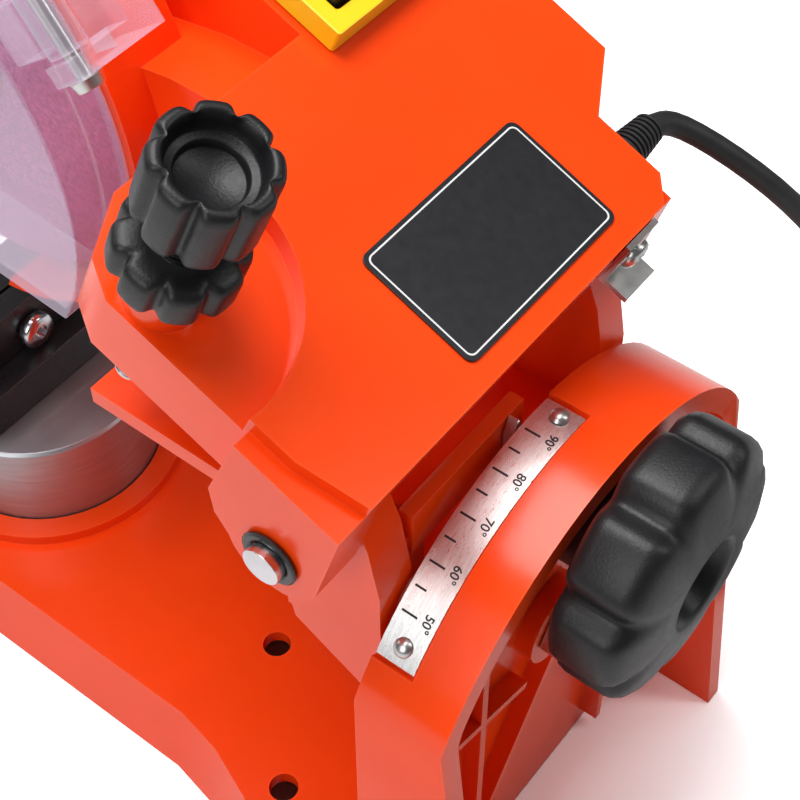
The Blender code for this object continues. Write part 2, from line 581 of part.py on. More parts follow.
def build_stop():
    axis = head_point(STOP_X, STOP_Y, TOP)
    screw = turned("z", STOP_X, STOP_Y, [(0, STOP_TIP), (STOP_R - 1.2, STOP_TIP), (STOP_R, STOP_TIP + 1.4),
                                         (STOP_R, SCREW_TOP), (0, SCREW_TOP)], 24)
    link("depth_screw", leaned(screw), STEEL, 1, 0.25, axis)
    low = [(JAM_R - 1.5, JAM_LOW, 0.5), (JAM_R, JAM_LOW + 2, 1), (JAM_R, JAM_TOP - 2, 1),
           (JAM_R - 1.5, JAM_TOP - 0.5, 0.6), (9, JAM_TOP, 0)]
    bore = rod("z", STOP_X, STOP_Y, STOP_R + FIT, JAM_LOW - 5, JAM_TOP + 5, 24)
    jam = cut(lobed("z", STOP_X, STOP_Y, low, SMALL_LOBES, 1.8), bore)
    link("depth_jam_knob", leaned(jam), BLACK, 0, 0.5, axis)
    high = [(8, GRIP_LOW, 0), (GRIP_R - 2, GRIP_LOW + 3, 0.6), (GRIP_R, GRIP_LOW + 6, 1),
            (GRIP_R, STOP_TOP - 1.5, 1), (GRIP_R - 1, STOP_TOP, 1)]
    dish = [(0, STOP_TOP - 8), (7.3, STOP_TOP - 8), (7.3, STOP_TOP - 5.5), (9.4, STOP_TOP - 5.5),
            (10.3, STOP_TOP + 0.5), (0, STOP_TOP + 0.5)]
    grip = cut(lobed("z", STOP_X, STOP_Y, high, SMALL_LOBES, 1.8),
               rod("z", STOP_X, STOP_Y, STOP_R + FIT, GRIP_LOW - 5, SCREW_TOP + GAP, 24),
               turned("z", STOP_X, STOP_Y, dish, 32))
    link("depth_knob", leaned(grip), BLACK, 0, 0.5, axis)


def build_wheel():
    hub = head_point(0, WHEEL_Y, WHEEL_Z)
    x0 = WHEEL_X - WHEEL_T / 2
    x1 = WHEEL_X + WHEEL_T / 2

    def spun(name, profile, color, metal, rough, count=40):
        link(name, leaned(turned("x", WHEEL_Y, WHEEL_Z, profile, count)), color, metal, rough, hub)

    bore = SHAFT_R + FIT
    spun("grinding_wheel", [(WHEEL_BORE, x0), (WHEEL_R, x0), (WHEEL_R, x1), (WHEEL_BORE, x1)],
         (0.55, 0.12, 0.25), 0, 0.9, 64)
    inner = [(bore, x0 - 4.5), (FLANGE_R, x0 - 4.5), (FLANGE_R, x0 - GAP), (bore, x0 - GAP)]
    outer = [(bore, x1 + GAP), (FLANGE_R, x1 + GAP), (FLANGE_R - 2, x1 + 4), (bore, x1 + 4)]
    spun("wheel_flange_inner", inner, STEEL, 1, 0.3)
    spun("wheel_flange_outer", outer, STEEL, 1, 0.3)
    nut = hex_nut("x", WHEEL_Y, WHEEL_Z, 10.5, x1 + 4.3, x1 + 12, SHAFT_R + FIT)
    link("wheel_nut", leaned(nut), ZINC, 1, 0.35, hub)
    pivot = (0, PIN_Y, PIN_Z + AXIS_Z)
    for name, x in (("motor_bearing_rear", MOTOR_X0 + 3), ("motor_bearing_front", HOOD_X0 - 4.5)):
        ring = tube("x", WHEEL_Y, WHEEL_Z, SHAFT_R + FIT, BEARING_R, x, x + BEARING_T, 32)
        link(name, leaned(ring), STEEL, 1, 0.3, pivot)
    core0 = MOTOR_X0 + 14
    core1 = MOTOR_X1 - 12
    spun("motor_rotor", [(0, MOTOR_X0 + 2.5), (SHAFT_R, MOTOR_X0 + 2.5), (SHAFT_R, core0), (ROTOR_R, core0),
                         (ROTOR_R, core1), (SHAFT_R, core1), (SHAFT_R, x1 + 14), (0, x1 + 14)],
         STEEL, 1, 0.4, 32)


def hinge_bore():
    """The hole for the guard's hinge screw."""
    return swung(rod("y", HINGE_X, WHEEL_Z + KNUCKLE_R, 2.2, WHEEL_Y - 20, WHEEL_Y + 20, 16))


def swung(bm):
    """From straight above the spindle to the hinge's own place round it."""
    turn = Matrix.Rotation(math.radians(HINGE_AT - 90), 3, "X")
    bmesh.ops.rotate(bm, cent=(0, WHEEL_Y, WHEEL_Z), matrix=turn, verts=bm.verts)
    return bm


def build_guard():
    """The clear cover over the wheel's open side, hung from a knuckle above it."""
    start, sweep, count = -7.0, 231.0, 30
    x0 = HOOD_X1 + GAP + 0.4

    def shell(radius, a, b):
        points = round_points(WHEEL_Y, WHEEL_Z, radius, count, start, sweep)
        return prism(points, "x", a, b)

    body = cut(shell(GUARD_R, x0, GUARD_X1), shell(GUARD_R - 2 * GUARD_T, x0 - 1, x0 + GUARD_BAND),
               shell(GUARD_R - GUARD_T, x0 + GUARD_BAND - 1, GUARD_X1 - GUARD_T))
    z = WHEEL_Z + KNUCKLE_R
    body = joined(body, swung(rod("y", HINGE_X, z, 5, WHEEL_Y - 8, WHEEL_Y + 8, 20)),
                  swung(box(HINGE_X - 4, HINGE_X + 4, WHEEL_Y - 7, WHEEL_Y + 7, WHEEL_Z + GUARD_R - 1, z - 1)))
    body = cut(body, hinge_bore())
    t = math.radians(HINGE_AT)
    axis = head_point(HINGE_X, WHEEL_Y + KNUCKLE_R * math.cos(t), WHEEL_Z + KNUCKLE_R * math.sin(t))
    link("wheel_guard_clear", leaned(body), (0.75, 0.68, 0.85), 0, 0.1, axis)
    pivot = (0, PIN_Y, PIN_Z + AXIS_Z)
    lug = joined(box(12, HINGE_X + 5, WHEEL_Y - 14, WHEEL_Y - 9, z - 5, z + 5),
                 box(12, HINGE_X + 5, WHEEL_Y + 9, WHEEL_Y + 14, z - 5, z + 5),
                 box(8, 16, WHEEL_Y - 14, WHEEL_Y + 14, z - 16, z + 5))
    lug = cut(swung(lug), hinge_bore(), rod("x", WHEEL_Y, WHEEL_Z, HOOD_R + GAP, 0, 40, 56))
    link("guard_hinge_lug", leaned(lug), (0.75, 0.68, 0.85), 0, 0.1, pivot)
    head = WHEEL_Y + 14.3
    screw = turned("y", HINGE_X, z, [(0, WHEEL_Y - 15), (2, WHEEL_Y - 15), (2, head), (4.2, head),
                                     (3.6, head + 2.7), (0, head + 3.2)], 20)
    link("guard_hinge_screw", leaned(swung(screw)), ZINC, 1, 0.3, pivot)


def build_vise():
    centre = (0, TABLE_Y, BASE_TOP)
    table = turned("z", 0, TABLE_Y, [(0, BASE_TOP + GAP), (TABLE_R, BASE_TOP + GAP), (TABLE_R, TABLE_TOP - 1),
                                     (TABLE_R - 1, TABLE_TOP), (0, TABLE_TOP)], 56)
    table = joined(table, rod("z", 0, TABLE_Y, 8, 8, BASE_TOP + 2, 24))
    table = cut(table, rod("z", 0, TABLE_Y, 4.2, -5, 20, 20))
    link("vise_turntable", table, (0.5, 0.5, 0.52), 1, 0.35, centre)
    stem = turned("z", 0, TABLE_Y, [(0, 19.5), (4, 19.5), (4, 7.5), (12, 7.5), (14, 5), (14, 1), (0, 1)], 24)
    link("table_lock_knob", stem, BLACK, 0, 0.5, centre)
    build_jaws(centre)
    build_clamp(centre)
    build_chain_stop(centre)


def jaw_holes(depth):
    """The screw's hole through both jaws, and the guide pins' holes as far as the given depth."""
    holes = [rod("y", 0, CLAMP_Z, 3.2, JAW_Y - 40, JAW_Y + 40, 20)]
    for x in (GUIDE_X, -GUIDE_X):
        holes.append(rod("y", x, CLAMP_Z + 2, 2.2, JAW_Y - 40, JAW_Y + depth, 16))
    return holes


def build_jaws(centre):
    low = TABLE_TOP + GAP
    fixed = joined(box(-JAW_HALF, JAW_HALF, JAW_Y - 16, JAW_Y - JAW_GAP / 2, low + 14, VISE_TOP),
                   box(-30, 30, JAW_Y - 16, JAW_Y + 18, low, low + 15))
    link("vise_fixed_jaw", cut(fixed, *jaw_holes(0)), BLACK, 0, 0.45, centre)
    moving = box(-JAW_HALF, JAW_HALF, JAW_Y + JAW_GAP / 2, JAW_Y + 9, low + 15.3, VISE_TOP)
    link("vise_moving_jaw", cut(moving, *jaw_holes(6)), BLACK, 0, 0.45, (0, JAW_Y, CLAMP_Z))
    for name, x in (("jaw_guide_minus", -GUIDE_X), ("jaw_guide_plus", GUIDE_X)):
        link(name, rod("y", x, CLAMP_Z + 2, 2, JAW_Y - 15, JAW_Y + 5, 16), STEEL, 1, 0.3, centre)


def build_clamp(centre):
    """The screw that draws the jaws together, its spring and its lever."""
    pivot = (0, JAW_Y, CLAMP_Z)
    screw = turned("y", 0, CLAMP_Z, [(0, JAW_Y - 30), (3, JAW_Y - 30), (3, JAW_Y + 9.3), (6.4, JAW_Y + 9.3),
                                     (6.4, JAW_Y + 14), (0, JAW_Y + 14)], 24)
    link("vise_screw", screw, STEEL, 1, 0.3, pivot)
    link("vise_spring", tube("y", 0, CLAMP_Z, 3.3, 6.4, JAW_Y - 30, JAW_Y - 16.3), STEEL, 1, 0.3, centre)
    handle = joined(rod("y", 0, CLAMP_Z, 8, JAW_Y - 42, JAW_Y - 30.3, 24),
                    box(0, 42, JAW_Y - 41, JAW_Y - 34, CLAMP_Z - 4, CLAMP_Z + 4),
                    rod("y", 44, CLAMP_Z, 7, JAW_Y - 44, JAW_Y - 32, 24))
    link("vise_lever", handle, BLACK, 0, 0.5, pivot)


def build_chain_stop(centre):
    """The pawl that a tooth of the chain rests against, on a small post."""
    y = JAW_Y - 10
    z = VISE_TOP + 4
    bore = rod("x", y, z, 1.7, -60, -20, 16)
    arm = joined(rod("x", y, z, 3.6, -46, -36, 20), box(-44, -38, y, y + 13, z - 1.5, z + 1.5))
    link("chain_stop", cut(arm, bore), STEEL, 1, 0.3, (0, y, z))
    bore = rod("x", y, z, 1.7, -60, -20, 16)
    post = joined(box(-35.6, -30, y - 4, y + 4, VISE_TOP + GAP, z + 4),
                  box(-36, -26, y - 4, y + 4, VISE_TOP + GAP, VISE_TOP + 1.6))
    link("chain_stop_post", cut(post, bore), ZINC, 1, 0.35, centre)
    link("chain_stop_screw", rod("x", y, z, 1.45, -48, -29, 16), STEEL, 1, 0.3, centre)


def smooth_route(points, count):
    """Points along a smooth curve through the route (Catmull-Rom)."""
    p = [Vector(q) for q in points]
    p = [2 * p[0] - p[1]] + p + [2 * p[-1] - p[-2]]
    out = []
    spans = len(p) - 3
    for k in range(count):
        s = k / (count - 1) * spans
        i = min(int(s), spans - 1)
        t = s - i
        a, b, c, d = p[i:i + 4]
        out.append(0.5 * ((2 * b) + (c - a) * t + (2 * a - 5 * b + 4 * c - d) * t * t
                          + (3 * b - a - 3 * c + d) * t ** 3))
    return out


def build_cord():
    """The mains cord as a tube down to its coil, the coil as one turned ring, and the plug."""
    exit_at = Vector(head_point(HEAD_MINUS - GLAND_OUT - GAP, GLAND_Y, GLAND_Z))
    coil_x, coil_y = COIL_AT
    on_ring = Vector((coil_x - 23, coil_y - 33, 2 * COIL_HIGH))
    route = [exit_at, exit_at + Vector((-10, 4, -4)), (-102, 12, 182), (-128, 27, 138), (-147, 39, 92),
             (-159, 48, 50), on_ring + Vector((0, -2, 8)), on_ring + Vector((0, 0, 4 * FACE_GAP))]
    curve = bpy.data.curves.new("power_cord", "CURVE")
    curve.dimensions = "3D"
    curve.bevel_depth = CORD_R * MM
    curve.bevel_resolution = 2
    curve.use_fill_caps = True
    spline = curve.splines.new("POLY")
    points = smooth_route(route, 34)
    spline.points.add(len(points) - 1)
    for point, q in zip(spline.points, points):
        point.co = (*(q * MM), 1)
    cord = bpy.data.objects.new("power_cord", curve)
    bpy.context.collection.objects.link(cord)
    mat = bpy.data.materials.new("power_cord_material")
    mat.use_nodes = True
    mat.node_tree.nodes["Principled BSDF"].inputs["Base Color"].default_value = (*BLACK, 1)
    curve.materials.append(mat)
    build_coil()
    build_plug(coil_x, coil_y + COIL_R + COIL_WIDE + FACE_GAP)


def build_coil():
    def fuller(value):
        return math.copysign(abs(value) ** 0.7, value)

    ring = []
    for i in range(16):
        t = 2 * math.pi * i / 16
        ring.append((COIL_R + COIL_WIDE * fuller(math.cos(t)), COIL_HIGH * (1 + fuller(math.sin(t))) + 0.1))
    link("cord_coil", turned("z", *COIL_AT, ring, 40), BLACK, 0, 0.6)


def build_plug(x, y):
    """A moulded round plug with two pins, with its boot low where the cord lies on the floor."""
    steps = ((0, 4.5, 6.1), (8, 5.5, 8), (17, 9, 13), (24, 15, PLUG_R), (PLUG_LONG - 4, PLUG_R - 0.5, PLUG_R),
             (PLUG_LONG, PLUG_R - 3, PLUG_R))
    turns = [2 * math.pi * i / 28 for i in range(28)]
    rings = [[(x + r * math.cos(t), y + dy, z + r * math.sin(t)) for t in turns] for dy, r, z in steps]
    pins = [rod("y", x + side * 9.5, PLUG_R, 2.4, y + PLUG_LONG - 2, y + PLUG_LONG + 19, 12) for side in (1, -1)]
    link("mains_plug", joined(loft(rings), *pins), BLACK, 0, 0.5)


def main():
    for obj in list(bpy.data.objects):
        bpy.data.objects.remove(obj)
    build_base()
    build_scale()
    build_bracket()
    build_tilt_small()
    build_lock_knob()
    build_head()
    build_head_small()
    build_stop()
    build_wheel()
    build_guard()
    build_vise()
    build_cord()


main()
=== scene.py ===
"""Looks of the bench sharpener for saw chain: finishes, knobs, threads, scale print, guard, cord and plug."""

import math

import bmesh
import bpy
from mathutils import Matrix, Vector


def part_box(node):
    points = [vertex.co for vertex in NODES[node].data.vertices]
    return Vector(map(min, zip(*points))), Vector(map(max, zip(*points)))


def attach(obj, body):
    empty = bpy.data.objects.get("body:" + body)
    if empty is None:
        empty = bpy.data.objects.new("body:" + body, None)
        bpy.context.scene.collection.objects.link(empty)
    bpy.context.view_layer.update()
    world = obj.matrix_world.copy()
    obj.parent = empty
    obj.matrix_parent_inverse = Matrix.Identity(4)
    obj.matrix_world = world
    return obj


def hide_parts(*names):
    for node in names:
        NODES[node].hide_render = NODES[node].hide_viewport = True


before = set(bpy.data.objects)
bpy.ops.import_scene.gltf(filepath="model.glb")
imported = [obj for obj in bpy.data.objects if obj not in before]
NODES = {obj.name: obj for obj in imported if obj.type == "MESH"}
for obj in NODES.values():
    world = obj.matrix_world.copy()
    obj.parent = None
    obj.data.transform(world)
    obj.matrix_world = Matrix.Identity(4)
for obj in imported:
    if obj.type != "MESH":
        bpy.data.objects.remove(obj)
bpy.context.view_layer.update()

# The row frame is in metres; the shapes below are written in millimetres.
MM = 0.001
AXIS_Z = 105.0       # height of the tilt axis
HEAD_LEAN = 23.48    # degrees that the head leans back about that axis
TOP = 100.0          # top of the head, in the head's own frame
ARCH_R = 75.0
SCALE_TOP = ARCH_R + 0.3
ZERO_AT = 2.1        # where the scale reads 90 degrees, from the top toward +X

STOP = (56.0, -105.5)        # the depth stop's axis, x and y in the head's frame
WHEEL = (-212.0, 21.3)       # the spindle, y and z in the head's frame
STUD_Z = 53.0                # the clamp stud above the tilt axis
LABEL_BOX = (-37.3, 20.2, -81.7, -47.9)
SCREW = (-42.0, -42.0, 89.0)         # where the bracket screw enters the head

WHEEL_R = 72.5
WHEEL_FACES = (4.4, 7.6)
GUARD_R = 77.5
GUARD_FACES = (17.7, 38.0)
GUARD_ARC = (-7.0, 231.0)    # where the guard starts round the wheel, and how far it goes
HINGE_X = 30.0
HINGE_UP = 93.0              # the guard's hinge from the spindle
HINGE_SWING = -30.0          # degrees from straight above the spindle to the hinge

CORD_R = 3.2
EXIT = (-76.7, -58.5, 87.0)
HEAD_SIDE = -56.4            # where the strain relief leaves the head
COIL = Vector((-142.0, 88.5))
COIL_R = 36.0
TURN_PITCH = 2 * CORD_R + 0.1        # from one turn to the next
COIL_START = 235.0           # degrees round the coil where the cord lands on it
FIRST_TURN = 123.5 / 360     # the part turn on the first ring; six whole turns follow
EXIT_BEND = 26.5             # radius of the curve from the coil to the plug

PLUG_R = 18.0
PLUG_Y = COIL.y + 49.4
PLUG_END = PLUG_Y + 56
BOOT_LONG = 14.0
PRONG_R = 2.4
PRONG_X = 9.5
PRONG_TIP = PLUG_Y + 74.5

FLOOR_SEEN = 1.45    # the floor reads as white to the camera and keeps its shadows


# ---------------------------------------------------------------- camera, light and floor

def make_camera():
    back = Vector((0.5020, 0.3915, 0.7712)).normalized()
    right = Vector((-0.6103, 0.7921, -0.0049)).normalized()
    up = back.cross(right).normalized()
    right = up.cross(back)
    data = bpy.data.cameras.new("view_camera")
    data.lens = 76.5
    data.sensor_width = 36.0
    data.clip_start = 0.01
    camera = bpy.data.objects.new("view_camera", data)
    bpy.context.scene.collection.objects.link(camera)
    turn = Matrix((right, up, back)).transposed().to_4x4()
    camera.matrix_world = Matrix.Translation(Vector((0.2184, 0.1308, 0.4945))) @ turn
    bpy.context.scene.camera = camera


def area_light(name, place, target, size, power):
    data = bpy.data.lights.new(name, "AREA")
    data.shape = "RECTANGLE"
    data.size, data.size_y = size
    data.energy = power
    lamp = bpy.data.objects.new(name, data)
    bpy.context.scene.collection.objects.link(lamp)
    lamp.location = place
    lamp.rotation_euler = (Vector(target) - Vector(place)).to_track_quat("-Z", "Y").to_euler()


def make_world():
    world = bpy.data.worlds.new("studio")
    bpy.context.scene.world = world
    world.use_nodes = True
    nodes, links = world.node_tree.nodes, world.node_tree.links
    nodes.clear()
    path = nodes.new("ShaderNodeLightPath")
    seen = nodes.new("ShaderNodeMath")
    seen.operation = "MAXIMUM"
    links.new(path.outputs["Is Camera Ray"], seen.inputs[0])
    links.new(path.outputs["Is Transmission Ray"], seen.inputs[1])
    soft = nodes.new("ShaderNodeBackground")
    soft.inputs["Color"].default_value = (0.95, 0.97, 1.0, 1)
    soft.inputs["Strength"].default_value = 0.12
    white = nodes.new("ShaderNodeBackground")
    white.inputs["Strength"].default_value = 1.0
    white.inputs["Color"].default_value = (1, 1, 1, 1)
    mix = nodes.new("ShaderNodeMixShader")
    out = nodes.new("ShaderNodeOutputWorld")
    links.new(seen.outputs[0], mix.inputs[0])
    links.new(soft.outputs[0], mix.inputs[1])
    links.new(white.outputs[0], mix.inputs[2])
    links.new(mix.outputs[0], out.inputs["Surface"])


def make_floor():
    bm = bmesh.new()
    bmesh.ops.create_circle(bm, cap_ends=True, segments=96, radius=6.0)
    mesh = bpy.data.meshes.new("studio_floor")
    bm.to_mesh(mesh)
    bm.free()
    floor = bpy.data.objects.new("studio_floor", mesh)
    bpy.context.scene.collection.objects.link(floor)
    floor.location.z = -0.0002
    mat = bpy.data.materials.new("studio_floor")
    mat.use_nodes = True
    nodes, links = mat.node_tree.nodes, mat.node_tree.links
    nodes.clear()
    path = nodes.new("ShaderNodeLightPath")
    lit = nodes.new("ShaderNodeBsdfDiffuse")
    lit.inputs["Color"].default_value = (0.75, 0.75, 0.75, 1)
    seen = nodes.new("ShaderNodeBsdfDiffuse")
    seen.inputs["Color"].default_value = (FLOOR_SEEN, FLOOR_SEEN, FLOOR_SEEN, 1)
    mix = nodes.new("ShaderNodeMixShader")
    out = nodes.new("ShaderNodeOutputMaterial")
    links.new(path.outputs["Is Camera Ray"], mix.inputs[0])
    links.new(lit.outputs[0], mix.inputs[1])
    links.new(seen.outputs[0], mix.inputs[2])
    links.new(mix.outputs[0], out.inputs["Surface"])
    mesh.materials.append(mat)


# ---------------------------------------------------------------- materials

def finish(name, color, rough, metal=0.0, vary=0.06, vary_size=40.0, grain=0.0, grain_size=900.0,
           wear=None, stretch=(1, 1, 1), rough_vary=0.08, spec=0.5):
    """A procedural finish: colour and gloss variation, fine bump, and a lighter or bare edge."""
    mat = bpy.data.materials.new(name)
    mat.use_nodes = True
    nodes, links = mat.node_tree.nodes, mat.node_tree.links
    shader = nodes["Principled BSDF"]
    shader.inputs["Metallic"].default_value = metal
    shader.inputs["Specular IOR Level"].default_value = spec
    place = nodes.new("ShaderNodeTexCoord")
    scale = nodes.new("ShaderNodeMapping")
    scale.inputs["Scale"].default_value = stretch
    links.new(place.outputs["Object"], scale.inputs["Vector"])

    def noise(size, detail):
        node = nodes.new("ShaderNodeTexNoise")
        node.inputs["Scale"].default_value = size
        node.inputs["Detail"].default_value = detail
        links.new(scale.outputs[0], node.inputs["Vector"])
        return node

    broad = noise(vary_size, 4)
    ramp = nodes.new("ShaderNodeValToRGB")
    ramp.color_ramp.elements[0].position = 0.3
    ramp.color_ramp.elements[1].position = 0.7
    ramp.color_ramp.elements[0].color = (*[c * (1 - vary) for c in color], 1)
    ramp.color_ramp.elements[1].color = (*[min(1, c * (1 + vary)) for c in color], 1)
    links.new(broad.outputs["Fac"], ramp.inputs[0])
    shown = ramp.outputs["Color"]
    if wear:
        edge_color, amount, radius = wear
        rounded = nodes.new("ShaderNodeBevel")
        rounded.samples = 4
        rounded.inputs["Radius"].default_value = radius
        geometry = nodes.new("ShaderNodeNewGeometry")
        dot = nodes.new("ShaderNodeVectorMath")
        dot.operation = "DOT_PRODUCT"
        links.new(rounded.outputs[0], dot.inputs[0])
        links.new(geometry.outputs["Normal"], dot.inputs[1])
        edge = nodes.new("ShaderNodeMapRange")
        edge.inputs["From Min"].default_value = 0.985
        edge.inputs["From Max"].default_value = 0.90
        edge.inputs["To Min"].default_value = 0.0
        edge.inputs["To Max"].default_value = amount
        links.new(dot.outputs["Value"], edge.inputs["Value"])
        patchy = noise(vary_size * 5, 3)
        worn = nodes.new("ShaderNodeMath")
        worn.operation = "MULTIPLY"
        links.new(edge.outputs[0], worn.inputs[0])
        links.new(patchy.outputs["Fac"], worn.inputs[1])
        mix = nodes.new("ShaderNodeMix")
        mix.data_type = "RGBA"
        mix.inputs["B"].default_value = (*edge_color, 1)
        links.new(worn.outputs[0], mix.inputs["Factor"])
        links.new(shown, mix.inputs["A"])
        shown = mix.outputs["Result"]
    links.new(shown, shader.inputs["Base Color"])
    gloss = nodes.new("ShaderNodeMapRange")
    gloss.inputs["To Min"].default_value = max(0.02, rough - rough_vary)
    gloss.inputs["To Max"].default_value = min(1.0, rough + rough_vary)
    fine = noise(vary_size * 3, 6)
    links.new(fine.outputs["Fac"], gloss.inputs["Value"])
    links.new(gloss.outputs[0], shader.inputs["Roughness"])
    if grain:
        bump = nodes.new("ShaderNodeBump")
        bump.inputs["Strength"].default_value = 1.0
        bump.inputs["Distance"].default_value = grain * MM
        speck = noise(grain_size, 2)
        links.new(speck.outputs["Fac"], bump.inputs["Height"])
        links.new(bump.outputs[0], shader.inputs["Normal"])
    return mat


def clear_plastic(name, tint, alpha):
    """Thin clear moulding: mostly see-through, with gloss and a faint tint that grows at its edges."""
    mat = bpy.data.materials.new(name)
    mat.use_nodes = True
    nodes, links = mat.node_tree.nodes, mat.node_tree.links
    shader = nodes["Principled BSDF"]
    shader.inputs["Roughness"].default_value = 0.06
    shader.inputs["IOR"].default_value = 1.45
    place = nodes.new("ShaderNodeTexCoord")
    cloud = nodes.new("ShaderNodeTexNoise")
    cloud.inputs["Scale"].default_value = 25
    cloud.inputs["Detail"].default_value = 3
    links.new(place.outputs["Object"], cloud.inputs["Vector"])
    ramp = nodes.new("ShaderNodeValToRGB")
    ramp.color_ramp.elements[0].color = (*[c * 0.93 for c in tint], 1)
    ramp.color_ramp.elements[1].color = (*tint, 1)
    links.new(cloud.outputs["Fac"], ramp.inputs[0])
    links.new(ramp.outputs[0], shader.inputs["Base Color"])
    facing = nodes.new("ShaderNodeLayerWeight")
    facing.inputs["Blend"].default_value = 0.35
    solid = nodes.new("ShaderNodeMapRange")
    solid.inputs["To Min"].default_value = alpha
    solid.inputs["To Max"].default_value = 0.60
    links.new(facing.outputs["Facing"], solid.inputs["Value"])
    links.new(solid.outputs[0], shader.inputs["Alpha"])
    bump = nodes.new("ShaderNodeBump")
    bump.inputs["Distance"].default_value = 0.05 * MM
    links.new(cloud.outputs["Fac"], bump.inputs["Height"])
    links.new(bump.outputs[0], shader.inputs["Normal"])
    return mat


PAINT = finish("orange_paint", (0.95, 0.062, 0.004), 0.20, vary=0.03, grain=0.02, grain_size=420,
               spec=0.4, wear=((1.0, 0.16, 0.05), 0.4, 0.0012), rough_vary=0.04)
BRUSHED = finish("brushed_aluminium", (0.78, 0.77, 0.76), 0.3, metal=1.0, vary=0.10, vary_size=150,
                 grain=0.03, grain_size=900, stretch=(1, 12, 1), rough_vary=0.1)
STEEL = finish("bright_steel", (0.66, 0.66, 0.68), 0.22, metal=1.0, vary=0.08, vary_size=120, grain=0.01,
               wear=((0.9, 0.9, 0.92), 0.5, 0.0004))
ZINC = finish("zinc_plate", (0.66, 0.66, 0.64), 0.32, metal=1.0, vary=0.14, vary_size=90, grain=0.02,
              wear=((0.85, 0.85, 0.85), 0.5, 0.0004))
BLACK = finish("black_plastic", (0.008, 0.008, 0.009), 0.42, vary=0.2, vary_size=200, grain=0.06,
               grain_size=1500, wear=((0.03, 0.03, 0.033), 0.6, 0.0009), spec=0.4)
ENAMEL = finish("black_enamel", (0.012, 0.012, 0.014), 0.3, vary=0.2, vary_size=120, grain=0.03,
                wear=((0.12, 0.12, 0.12), 0.6, 0.0006))
RUBBER = finish("black_rubber", (0.013, 0.013, 0.014), 0.55, vary=0.25, vary_size=150, grain=0.02)
YELLOW = finish("yellow_plastic", (0.95, 0.62, 0.006), 0.38, vary=0.04, vary_size=60, grain=0.02,
                wear=((1.0, 0.78, 0.15), 0.5, 0.0006))
LABEL = finish("dark_label", (0.010, 0.010, 0.012), 0.38, vary=0.15, vary_size=120, grain=0.01)
PRINT = finish("pale_print", (0.75, 0.75, 0.75), 0.5, vary=0.05, vary_size=200)
INK = finish("black_print", (0.01, 0.01, 0.01), 0.5, vary=0.1, vary_size=200)
CORE = finish("laminated_core", (0.25, 0.24, 0.24), 0.45, metal=1.0, vary=0.2, stretch=(20, 1, 1),
              vary_size=100, grain=0.05)
ABRASIVE = finish("pink_abrasive", (0.50, 0.115, 0.30), 0.9, vary=0.28, vary_size=700, grain=0.25,
                  grain_size=1400, spec=0.2)
SATIN = finish("satin_aluminium", (0.40, 0.41, 0.43), 0.42, metal=0.9, vary=0.12, vary_size=50,
               grain=0.03, grain_size=700, stretch=(1, 1, 14), wear=((0.7, 0.7, 0.72), 0.5, 0.0006))
CLEAR = clear_plastic("clear_plastic", (0.86, 0.76, 0.93), 0.10)


# ---------------------------------------------------------------- shape helpers

def lift(bm):
    bmesh.ops.translate(bm, vec=(0, 0, AXIS_Z), verts=bm.verts)
    return bm


def lean(bm):
    """From the head's own frame to the row frame."""
    turn = Matrix.Rotation(math.radians(-HEAD_LEAN), 4, "X")
    bmesh.ops.transform(bm, matrix=Matrix.Translation((0, 0, AXIS_Z)) @ turn, verts=bm.verts)
    return bm


def head_point(x, y, z):
    t = math.radians(HEAD_LEAN)
    return Vector((x, y * math.cos(t) + z * math.sin(t), AXIS_Z - y * math.sin(t) + z * math.cos(t)))


def piece(name, bm, mat, body, replaces=(), bevel=0.0, sharp=35.0, segments=2):
    """A named piece from a bmesh in millimetres that rides on a CAD body."""
    bmesh.ops.remove_doubles(bm, verts=bm.verts, dist=0.0005)
    bmesh.ops.recalc_face_normals(bm, faces=bm.faces)
    bmesh.ops.scale(bm, vec=(MM, MM, MM), verts=bm.verts)
    mesh = bpy.data.meshes.new(name)
    bm.to_mesh(mesh)
    bm.free()
    obj = bpy.data.objects.new(name, mesh)
    bpy.context.scene.collection.objects.link(obj)
    mesh.materials.append(mat)
    mesh.polygons.foreach_set("use_smooth", [True] * len(mesh.polygons))
    if bevel:
        add_bevel(obj, bevel * MM, sharp, segments)
    else:
        mesh.set_sharp_from_angle(angle=math.radians(sharp))
    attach(obj, body)
    if replaces:
        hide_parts(*replaces)
    return obj


def add_bevel(obj, width, angle=35.0, segments=2):
    mod = obj.modifiers.new("edge", "BEVEL")
    mod.width = width
    mod.segments = segments
    mod.limit_method = "ANGLE"
    mod.angle_limit = math.radians(angle)
    mod.harden_normals = True


def loft(rings, closed=False):
    bm = bmesh.new()
    rows = [[bm.verts.new(p) for p in ring] for ring in rings]
    count = len(rows[0])
    pairs = list(zip(rows, rows[1:]))
    if closed:
        pairs.append((rows[-1], rows[0]))
    for low, high in pairs:
        for i in range(count):
            j = (i + 1) % count
            bm.faces.new((low[i], low[j], high[j], high[i]))
    if not closed:
        bm.faces.new(rows[0][::-1])
        bm.faces.new(rows[-1])
    return bm


AXES = {"x": lambda a, b, t: (t, a, b), "y": lambda a, b, t: (a, t, b), "z": lambda a, b, t: (a, b, t)}


def prism(points, axis, start, end):
    return loft([[AXES[axis](a, b, t) for a, b in points] for t in (start, end)])


def circle(a, b, radius, count, start=0.0, sweep=360.0):
    steps = count if sweep == 360.0 else count - 1
    turns = [math.radians(start + sweep * i / steps) for i in range(count)]
    return [(a + radius * math.cos(t), b + radius * math.sin(t)) for t in turns]


def box(x0, x1, y0, y1, z0, z1):
    return prism([(x0, y0), (x1, y0), (x1, y1), (x0, y1)], "z", z0, z1)


